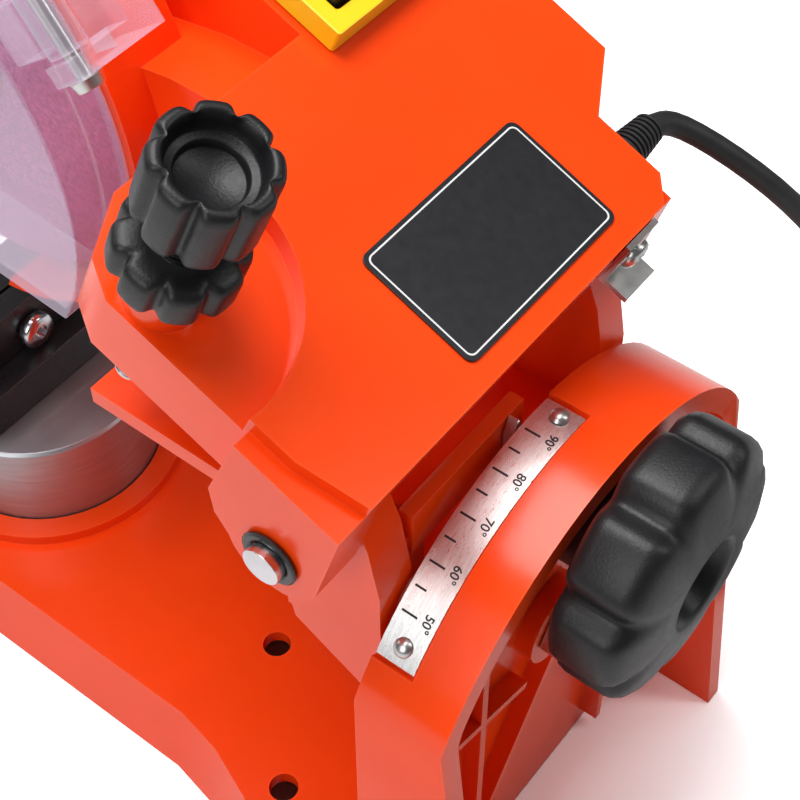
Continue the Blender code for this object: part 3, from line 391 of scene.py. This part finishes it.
def rounded(x0, x1, y0, y1, radius, count=6):
    """A rectangle with rounded corners."""
    corners = ((x1 - radius, y1 - radius, 0), (x0 + radius, y1 - radius, 90),
               (x0 + radius, y0 + radius, 180), (x1 - radius, y0 + radius, 270))
    return [p for a, b, start in corners for p in circle(a, b, radius, count, start, 90)]


def turned(axis, a, b, profile, count=64, lobes=0, depth=0.0):
    """A ring or solid turned about an axis, from (radius, distance, lobe share) rows that close up."""
    rings = []
    for i in range(count):
        t = 2 * math.pi * i / count
        dip = depth * lobe_shape(lobes * t) if lobes else 0.0
        ring = []
        for row in profile:
            r = row[0] - dip * (row[2] if len(row) > 2 else 0.0)
            ring.append(AXES[axis](a + r * math.cos(t), b + r * math.sin(t), row[1]))
        rings.append(ring)
    return loft(rings, closed=True)


def lobe_shape(t):
    """0 on a lobe and 1 in the middle of the scallop between two, with broad lobes."""
    return (0.5 - 0.5 * math.cos(t)) ** 5


def thread(axis, a, b, radius, start, end, pitch, depth, count=28):
    """A threaded rod: rings whose radius follows the helix."""
    rows = []
    steps = int((end - start) / pitch * 6)
    for k in range(steps + 1):
        at = start + (end - start) * k / steps
        fade = min(1.0, (at - start) / pitch, (end - at) / pitch)
        ring = []
        for i in range(count):
            t = 2 * math.pi * i / count
            wave = abs(((at / pitch + i / count) % 1.0) * 2 - 1)
            r = radius - depth * (1 - wave) * fade - 0.25 * (1 - fade)
            ring.append(AXES[axis](a + r * math.cos(t), b + r * math.sin(t), at))
        rows.append(ring)
    return loft(rows)


def merged(*parts):
    """Separate closed shells in one mesh."""
    first = parts[0]
    for bm in parts[1:]:
        mesh = bpy.data.meshes.new("scratch")
        bm.to_mesh(mesh)
        bm.free()
        first.from_mesh(mesh)
        bpy.data.meshes.remove(mesh)
    return first


def cut(first, *others):
    """first less the others, by the exact solver."""
    target = scratch(first)
    for bm in others:
        tool = scratch(bm)
        mod = target.modifiers.new("cut", "BOOLEAN")
        mod.solver = "EXACT"
        mod.object = tool
        graph = bpy.context.evaluated_depsgraph_get()
        done = bpy.data.meshes.new_from_object(target.evaluated_get(graph))
        target.modifiers.clear()
        target.data = done
        bpy.data.objects.remove(tool)
    result = bmesh.new()
    result.from_mesh(target.data)
    bpy.data.objects.remove(target)
    return result


def scratch(bm):
    mesh = bpy.data.meshes.new("scratch")
    bmesh.ops.recalc_face_normals(bm, faces=bm.faces)
    bm.to_mesh(mesh)
    bm.free()
    obj = bpy.data.objects.new("scratch", mesh)
    bpy.context.scene.collection.objects.link(obj)
    return obj


# ---------------------------------------------------------------- the cord and what is on it

def smooth_route(points, count):
    p = [Vector(q) for q in points]
    p = [2 * p[0] - p[1]] + p + [2 * p[-1] - p[-2]]
    spans = len(p) - 3
    out = []
    for k in range(count):
        s = k / (count - 1) * spans
        i = min(int(s), spans - 1)
        t = s - i
        a, b, c, d = p[i:i + 4]
        out.append(0.5 * (2 * b + (c - a) * t + (2 * a - 5 * b + 4 * c - d) * t * t
                          + (3 * b - a - 3 * c + d) * t ** 3))
    return out


def coil_points():
    """Rings of cord, clockwise from above: three on top going in, then four below going out."""
    low, high = CORD_R, CORD_R + 0.87 * TURN_PITCH
    rows = [(1.0, high), (0.0, high), (-1.0, high), (-1.5, low), (-0.5, low), (0.5, low), (1.5, low)]
    turns = FIRST_TURN + len(rows) - 1
    out = []
    count = int(turns * 36)
    for k in range(count + 1):
        u = turns * k / count
        s = max(0.0, u - FIRST_TURN + 1)
        i = min(int(s), len(rows) - 1)
        blend = 0.0
        if i < len(rows) - 1 and s - i > 0.8:
            blend = (s - i - 0.8) / 0.2
            blend = blend * blend * (3 - 2 * blend)
        here, there = rows[i], rows[min(i + 1, len(rows) - 1)]
        out_by = here[0] + (there[0] - here[0]) * blend
        z = here[1] + (there[1] - here[1]) * blend
        angle = math.radians(COIL_START - 360.0 * u)
        r = COIL_R + out_by * TURN_PITCH
        out.append(Vector((COIL.x + r * math.cos(angle), COIL.y + r * math.sin(angle), z)))
    return out


def exit_arc():
    """From the outer low turn, curving the other way to run straight into the plug."""
    reach = COIL_R + 1.5 * TURN_PITCH + EXIT_BEND
    tilt = math.asin(EXIT_BEND / reach)
    centre = Vector((COIL.x - EXIT_BEND, COIL.y + reach * math.cos(tilt)))
    out = []
    for k in range(1, 9):
        t = (k / 8 - 1) * (math.pi / 2 - tilt)
        out.append(Vector((centre.x + EXIT_BEND * math.cos(t), centre.y + EXIT_BEND * math.sin(t), CORD_R)))
    return out


def length_of(points):
    return sum((b - a).length for a, b in zip(points, points[1:]))


def relaxed(points, rounds, keep):
    """Evens out bends in the free part, leaving its first and last points where they are."""
    for _ in range(rounds):
        points = [p if i < keep or i > len(points) - 2 else (points[i - 1] + 2 * p + points[i + 1]) / 4
                  for i, p in enumerate(points)]
    return points


def build_cord():
    exit_at = head_point(*EXIT)
    coil = coil_points()
    fall = [exit_at, exit_at + Vector((-10, 4, -4)), Vector((-102, 12, 182)), Vector((-128, 27, 138)),
            Vector((-147, 38, 92)), Vector((-159, 46, 52)), Vector((-167, 53, 26)), coil[3], coil[6]]
    lead = relaxed(smooth_route(fall, 44), 6, 2)
    tail = [coil[-1]] + exit_arc()
    points = lead[:-1] + coil[6:] + tail[1:] + [Vector((COIL.x, tail[-1].y + 4, CORD_R))]
    curve = bpy.data.curves.new("mains_lead", "CURVE")
    curve.dimensions = "3D"
    curve.bevel_depth = CORD_R * MM
    curve.bevel_resolution = 4
    curve.use_fill_caps = True
    spline = curve.splines.new("POLY")
    spline.points.add(len(points) - 1)
    for point, q in zip(spline.points, points):
        point.co = (*(q * MM), 1)
    spline.use_smooth = True
    obj = bpy.data.objects.new("mains_lead", curve)
    bpy.context.scene.collection.objects.link(obj)
    curve.materials.append(RUBBER)
    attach(obj, "base")
    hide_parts("power_cord", "cord_coil")
    return obj, exit_at * MM, length_of(points) * MM, tail[-1].y


def build_plug(start_y):
    """Moulded plug: ribbed boot, round body with grip hollows, two pins."""
    x = COIL.x
    rows = []
    steps = 44
    body_y = start_y + BOOT_LONG
    for k in range(steps + 1):
        y = start_y + (PLUG_END - start_y) * k / steps
        if y < body_y:
            t = (y - start_y) / (body_y - start_y)
            r = 4.6 + 6.0 * t
            if 0.1 < t < 0.85:
                r -= 0.9 * (0.5 - 0.5 * math.cos((t - 0.1) * 2 * math.pi * 4 / 0.75))
            z = 6.2 + (PLUG_R - 6.2) * (3 * t * t - 2 * t ** 3)
        else:
            t = (y - body_y) / (PLUG_END - body_y)
            r = PLUG_R - 0.2 - 7.2 * max(0.0, 1 - t * 3.2) ** 2 - 1.6 * max(0.0, t - 0.93) / 0.07
            z = PLUG_R
        z = max(z, r + 0.1)
        ring = []
        for i in range(48):
            a = 2 * math.pi * i / 48
            pinch = 2.2 * math.exp(-((y - body_y - 12) / 7) ** 2) * abs(math.cos(a)) ** 6
            ring.append((x + (r - pinch) * math.cos(a), y, z + (r - pinch) * math.sin(a)))
        rows.append(ring)
    plug = piece("plug_moulding", loft(rows), RUBBER, "base", ["mains_plug"], sharp=50)
    pins = [prism(circle(x + side * PRONG_X, PLUG_R, PRONG_R, 20), "y", PLUG_END - 1, PRONG_TIP)
            for side in (1, -1)]
    prongs = piece("plug_pins", merged(*pins), STEEL, "base", bevel=0.7)
    return [plug, prongs]


bpy.context.scene.view_settings.view_transform = "Standard"
make_camera()
make_world()
make_floor()
lead, lead_exit, lead_length, lead_end_y = build_cord()
on_lead = build_plug(lead_end_y)


# ---------------------------------------------------------------- carried-over CAD nodes

def dress(name, mat, bevel, angle=35.0, segments=2):
    """Gives a CAD node its finish and rounded edges."""
    obj = NODES[name]
    mesh = obj.data
    mesh.materials.clear()
    mesh.materials.append(mat)
    if "custom_normal" in mesh.attributes:
        mesh.attributes.remove(mesh.attributes["custom_normal"])
    mesh.polygons.foreach_set("use_smooth", [True] * len(mesh.polygons))
    if "sharp_face" in mesh.attributes:
        mesh.attributes.remove(mesh.attributes["sharp_face"])
    weld = obj.modifiers.new("weld", "WELD")
    weld.merge_threshold = 0.00002
    add_bevel(obj, bevel * MM, angle, segments)
    obj.modifiers["edge"].use_clamp_overlap = True


KEPT = [
    (PAINT, 1.8, ["base_casting", "head_casting", "tilt_bracket"]),
    (BRUSHED, 0.15, ["scale_plate"]),
    (ZINC, 0.3, ["scale_rivet_top", "scale_rivet_low", "tilt_pivot_nut", "clamp_washer", "cord_bracket",
                 "wheel_nut", "guard_hinge_screw", "chain_stop_post", "scale_pointer"]),
    (STEEL, 0.5, ["clamp_stud", "tilt_pivot_bolt", "hinge_pin", "wheel_flange_inner", "wheel_flange_outer",
                  "motor_bearing_rear", "motor_bearing_front", "jaw_guide_minus", "jaw_guide_plus",
                  "chain_stop", "chain_stop_screw", "return_spring"]),
    (BLACK, 0.8, ["switch_rocker", "table_lock_knob", "vise_lever", "motor_end_cover"]),
    (ENAMEL, 0.8, ["vise_fixed_jaw", "pin_clip_plus", "pin_clip_minus"]),
    (ENAMEL, 0.25, ["vise_moving_jaw"]),
    (YELLOW, 0.8, ["switch_frame"]),
    (CORE, 0.4, ["motor_stator", "motor_rotor"]),
    (SATIN, 1.0, ["vise_turntable"]),
    (CLEAR, 0.5, ["guard_hinge_lug"]),
]
for mat, bevel, names in KEPT:
    for name in names:
        dress(name, mat, bevel, segments=4 if mat is PAINT else 2)


# ---------------------------------------------------------------- knobs, screws and springs

def build_lock_knob():
    """The big knob on the clamp stud: eight broad lobes, a domed face and a deep hole."""
    profile = [(5.4, 11.4), (13, 11.4), (13.2, 12.2), (13.2, 26.5), (15, 27.7), (29, 28.5, 0.6),
               (33, 29.1, 0.9), (34.9, 30.7, 1), (35.5, 33, 1), (35.5, 43.5, 1), (35.1, 45.4, 1),
               (33.9, 47.2, 1), (31.6, 48.6, 0.95), (28, 49.8, 0.7), (23, 50.7, 0.4), (18, 51.3, 0.15),
               (13.5, 51.5), (12.3, 51.2), (11.4, 50.2), (9.6, 46), (8.4, 43.4), (8.2, 42.6), (5.4, 42.6)]
    bm = turned("y", 0, STUD_Z, profile, 192, 8, 4.0)
    piece("lock_knob_grip", lift(bm), BLACK, "lock", ["lock_knob"], sharp=60)


def build_stop_knobs():
    """The jam knob and, above it, the knob that turns the stop screw, with its stepped dish."""
    low = [(4.3, 107.1), (11.5, 107.1, 0.4), (13.2, 107.4, 0.8), (14.2, 108.4, 1), (14.5, 109.8, 1),
           (14.5, 116.0, 1), (14.2, 117.5, 1), (13.3, 118.5, 0.9), (11.8, 118.9, 0.6), (9.6, 119, 0.2),
           (7, 119), (6.4, 118.6), (6.2, 117.4), (6, 116.6), (4.3, 116.6)]
    bm = turned("z", *STOP, low, 160, 8, 2.2)
    piece("jam_knob_grip", lean(bm), BLACK, "jam_knob", ["depth_jam_knob"], sharp=60)
    high = [(4.3, 125.1), (7.8, 125.1), (8.1, 125.5), (8.3, 127.2), (10, 127.9, 0.3), (12, 128.8, 0.8),
            (13.1, 130.2, 1), (13.5, 132.2, 1), (13.5, 146, 1), (13.3, 147.6, 1), (12.7, 148.6, 0.95),
            (11.9, 149, 0.8), (10.9, 149, 0.35), (10.4, 148.6, 0.1), (9.9, 146), (9.5, 144), (9.1, 143.6),
            (7.8, 143.5), (7.4, 143.2), (7.3, 141.5), (7.0, 141.1), (0.001, 141), (0.001, 134.4), (4.3, 134.4)]
    bm = turned("z", *STOP, high, 160, 8, 2.2)
    piece("depth_knob_grip", lean(bm), BLACK, "stop_knob", ["depth_knob"], sharp=60)


def build_stop_screw():
    tip = turned("z", *STOP, [(0.001, 56.0), (1.6, 56.1), (2.6, 56.6), (3.2, 57.6), (3.3, 59), (0.001, 59)], 32)
    rod = thread("z", *STOP, 4.0, 58.0, 133.8, 1.25, 0.62)
    piece("depth_screw_thread", lean(merged(rod, tip)), STEEL, "stop_screw", ["depth_screw"],
          sharp=70)


def build_bracket_screw():
    """Pan head with a cross recess, through the sheet bracket."""
    x, y, z = SCREW
    profile = [(0.001, y + 0.3), (1.9, y + 0.3), (1.9, y + 2.1), (4.2, y + 2.1), (4.25, y + 2.8),
               (3.9, y + 3.7), (2.9, y + 4.3), (1.4, y + 4.6), (0.001, y + 4.6)]
    bm = turned("y", x, z, profile, 40)
    slots = [box(x - 2.4, x + 2.4, y + 3.2, y + 9, z - 0.45, z + 0.45),
             box(x - 0.45, x + 0.45, y + 3.2, y + 9, z - 2.4, z + 2.4)]
    piece("bracket_screw_head", lean(cut(bm, *slots)), ZINC, "head", ["bracket_screw"], sharp=40)


def spring_wire(axis, a, b, radius, wire, start, end, turns, count=10):
    """A coil spring with closed ends."""
    steps = int(turns * 28)
    rows = []
    for k in range(steps + 1):
        u = k / steps
        t = 2 * math.pi * turns * u
        lead_in = min(1.0, max(0.0, (u - 0.06) / 0.88))
        at = start + wire + (end - start - 2 * wire) * lead_in
        ring = []
        for i in range(count):
            s = 2 * math.pi * i / count
            r = radius + wire * math.cos(s)
            ring.append(AXES[axis](a + r * math.cos(t), b + r * math.sin(t), at + wire * math.sin(s)))
        rows.append(ring)
    return loft(rows)


def build_vise_screw():
    lo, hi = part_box("vise_screw")
    z = (lo.z + hi.z) / 2 / MM
    start, end = lo.y / MM, hi.y / MM
    rod = thread("y", 0, z, 3.0, start + 0.2, end - 5, 1.0, 0.5, 24)
    head = turned("y", 0, z, [(0.001, end - 4.6), (5.6, end - 4.6), (6.2, end - 4), (6.2, end - 1.2),
                              (5.4, end - 0.4), (2.6, end - 0.2), (2.6, end - 2.6), (0.001, end - 2.6)], 40)
    piece("vise_screw_thread", merged(rod, head), STEEL, "vise_clamp", ["vise_screw"], sharp=60)
    lo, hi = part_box("vise_spring")
    coil = spring_wire("y", 0, z, 5.2, 0.7, lo.y / MM + 0.1, hi.y / MM - 0.1, 6)
    piece("vise_spring_wire", coil, STEEL, "table", ["vise_spring"], sharp=60)


# ---------------------------------------------------------------- scale, label and switch

def on_arch(x_deg, y, r):
    t = math.radians(x_deg)
    return Vector((r * math.sin(t), y, AXIS_Z + r * math.cos(t)))


def build_scale_marks():
    bm = bmesh.new()
    low, high = SCALE_TOP - 0.05, SCALE_TOP + 0.06
    for k in range(9):
        angle = ZERO_AT + 5 * k
        length = 4.4 if k % 2 == 0 else 3.2
        half = math.degrees(0.28 / ARCH_R)
        corners = [(angle - half, 0.0), (angle + half, 0.0), (angle + half, length), (angle - half, length)]
        lower = [bm.verts.new(on_arch(a, y, low)) for a, y in corners]
        upper = [bm.verts.new(on_arch(a, y, high)) for a, y in corners]
        bm.faces.new(lower[::-1])
        bm.faces.new(upper)
        for i in range(4):
            j = (i + 1) % 4
            bm.faces.new((lower[i], lower[j], upper[j], upper[i]))
    piece("scale_ticks", bm, INK, "base")


def build_scale_numbers():
    """The numbers 90 to 50 in tens, along the plate and a hair above it."""
    for k in range(5):
        value = 90 - 10 * k
        angle = ZERO_AT + 10 * k
        data = bpy.data.curves.new(f"scale_number_{value}", "FONT")
        data.body = f"{value}°"
        data.size = 3.3 * MM
        data.extrude = 0.04 * MM
        data.align_x = "CENTER"
        data.align_y = "CENTER"
        data.offset = 0.05 * MM
        obj = bpy.data.objects.new(f"scale_number_{value}", data)
        bpy.context.scene.collection.objects.link(obj)
        data.materials.append(INK)
        t = math.radians(angle)
        normal = Vector((math.sin(t), 0, math.cos(t)))
        across = Vector((math.cos(t), 0, -math.sin(t)))
        up = Vector((0, 1, 0))
        turn = Matrix((across, up, normal)).transposed().to_4x4()
        place = on_arch(angle, 7.1, SCALE_TOP + 0.05) * MM
        obj.matrix_world = Matrix.Translation(place) @ turn
        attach(obj, "base")


def build_label():
    x0, x1, y0, y1 = LABEL_BOX
    plate = prism(rounded(x0, x1, y0, y1, 2.4), "z", TOP + 0.1, TOP + 0.7)
    piece("label_plate", lean(plate), LABEL, "head", ["rating_plate"], bevel=0.15)
    outer = rounded(x0 + 1.1, x1 - 1.1, y0 + 1.1, y1 - 1.1, 1.8)
    inner = rounded(x0 + 1.5, x1 - 1.5, y0 + 1.5, y1 - 1.5, 1.5)
    bm = bmesh.new()
    rings = [[bm.verts.new((x, y, z)) for x, y in pts] for pts, z in
             ((outer, TOP + 0.68), (outer, TOP + 0.76), (inner, TOP + 0.76), (inner, TOP + 0.68))]
    count = len(outer)
    for a, b in zip(rings, rings[1:] + rings[:1]):
        for i in range(count):
            j = (i + 1) % count
            bm.faces.new((a[i], a[j], b[j], b[i]))
    piece("label_border", lean(bm), PRINT, "head")


# ---------------------------------------------------------------- wheel, guard and strain relief

def build_wheel():
    (x0, x1), r = WHEEL_FACES, WHEEL_R
    profile = [(11.2, x0), (r - 1.2, x0), (r - 0.5, x0 + 0.35), (r, x0 + 1.1), (r, x1 - 1.1),
               (r - 0.5, x1 - 0.35), (r - 1.2, x1), (11.2, x1)]
    bm = lean(turned("x", *WHEEL, profile, 128))
    piece("wheel_abrasive", bm, ABRASIVE, "spindle", ["grinding_wheel"], sharp=50)


def arc_shell(radius, x0, x1):
    return prism(circle(*WHEEL, radius, 72, *GUARD_ARC), "x", x0, x1)


def swung(bm):
    """From straight above the spindle to the guard's hinge."""
    turn = Matrix.Rotation(math.radians(HINGE_SWING), 3, "X")
    bmesh.ops.rotate(bm, cent=(0, *WHEEL), matrix=turn, verts=bm.verts)
    return bm


def build_guard():
    """The clear cover: rounded face, thicker band along its open edge, ribs and the knuckle."""
    rim, (x0, x1) = GUARD_R, GUARD_FACES
    body = cut(arc_shell(rim, x0, x1), arc_shell(rim - 4, x0 - 1, x0 + 8), arc_shell(rim - 2, x0 + 7, x1 - 2))
    piece("guard_shell", lean(body), CLEAR, "guard", ["wheel_guard_clear"], bevel=1.1,
          sharp=30, segments=3)
    y, z = WHEEL
    up = z + HINGE_UP
    barrel = cut(prism(circle(HINGE_X, up, 5, 40), "y", y - 8, y + 8),
                 prism(circle(HINGE_X, up, 2.3, 24), "y", y - 20, y + 20))
    strap = box(HINGE_X - 4, HINGE_X + 4, y - 7, y + 7, z + rim - 1.5, up - 4.4)
    ribs = [box(x1 - 0.1, x1 + 1.4, y + side - 0.8, y + side + 0.8, z + 44, z + rim - 2) for side in (-5, 5)]
    knuckle = lean(swung(merged(barrel, strap, *ribs)))
    piece("guard_knuckle", knuckle, CLEAR, "guard", bevel=0.5, sharp=30)


def build_gland():
    """The tapered strain relief with its ring grooves."""
    x, bore, rings = HEAD_SIDE, CORD_R + 0.15, 11
    rows = [(bore, x - 19.9)]
    for k in range(rings):
        at = x - 19.7 + 19.0 * k / rings
        base = 4.3 + 1.9 * k / rings
        rows += [(base, at), (base, at + 0.85), (base - 0.9, at + 0.95), (base - 0.9, at + 1.6)]
    rows += [(6.2, x - 0.7), (6.2, x - 0.3), (6.1, x - 0.2), (6.1, x + 8), (bore, x + 8)]
    bm = turned("x", EXIT[1], EXIT[2], rows, 40)
    piece("strain_relief", lean(bm), RUBBER, "head", ["cord_gland"], sharp=40)


build_lock_knob()
build_stop_knobs()
build_stop_screw()
build_bracket_screw()
build_vise_screw()
build_scale_marks()
build_scale_numbers()
build_label()
build_wheel()
build_guard()
build_gland()

area_light("key_light", (0.0, -0.30, 1.35), (0, -0.05, 0.15), (0.9, 0.8), 18.0)
area_light("side_light", (0.95, 0.0, 0.75), (0, -0.05, 0.15), (0.5, 0.7), 4.5)
area_light("front_light", (0.1, -1.0, 0.8), (0, -0.05, 0.1), (0.8, 0.6), 2.5)
area_light("rear_light", (-0.55, 0.75, 0.95), (0, 0.0, 0.15), (0.25, 0.9), 3.0)
